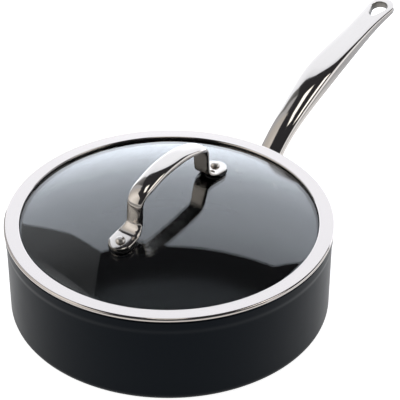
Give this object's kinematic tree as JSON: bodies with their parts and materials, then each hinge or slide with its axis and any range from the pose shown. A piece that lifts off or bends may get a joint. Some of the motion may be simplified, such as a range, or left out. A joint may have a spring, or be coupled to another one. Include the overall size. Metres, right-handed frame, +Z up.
{
  "type": "saute pan with lid",
  "caption": "Straight-sided saute pan with a riveted long handle and a domed glass lid in a steel ring with a strap handle.",
  "frame": {"origin": "centre of the base plate's underside, on the surface the pan stands on", "axes": "+Z up through the middle of the lid, +X along the long handle"},
  "size_m": [0.4398, 0.246, 0.128],
  "materials": {
    "hard_anodised": "matt hard anodised outside, nonstick coated inside",
    "base_steel": "turned",
    "handle_steel": "polished stainless steel",
    "ring_steel": "polished stainless steel",
    "rivet_steel": "plain stainless steel",
    "glass": "clear tempered",
    "silicone": "matt black"
  },
  "bodies": {
    "pan": {"pan_body": "hard_anodised", "induction_base_plate": "base_steel", "pan_handle": "handle_steel", "pan_handle_rivet_left": "rivet_steel", "pan_handle_rivet_right": "rivet_steel"},
    "lid": {"lid_glass": "glass", "lid_rim": "ring_steel", "lid_rim_seal": "silicone", "lid_handle": "handle_steel", "lid_handle_rivet_front": "rivet_steel", "lid_handle_rivet_rear": "rivet_steel", "lid_foot_gasket_front": "silicone", "lid_foot_gasket_rear": "silicone", "lid_hole_bush_front": "silicone", "lid_hole_bush_rear": "silicone", "lid_washer_front": "rivet_steel", "lid_washer_rear": "rivet_steel"}
  },
  "joints": [
    {"name": "lid_lift", "type": "slide", "parent": "pan", "child": "lid", "axis": [0, 0, 1], "range_m": [0, 0.12]}
  ]
}
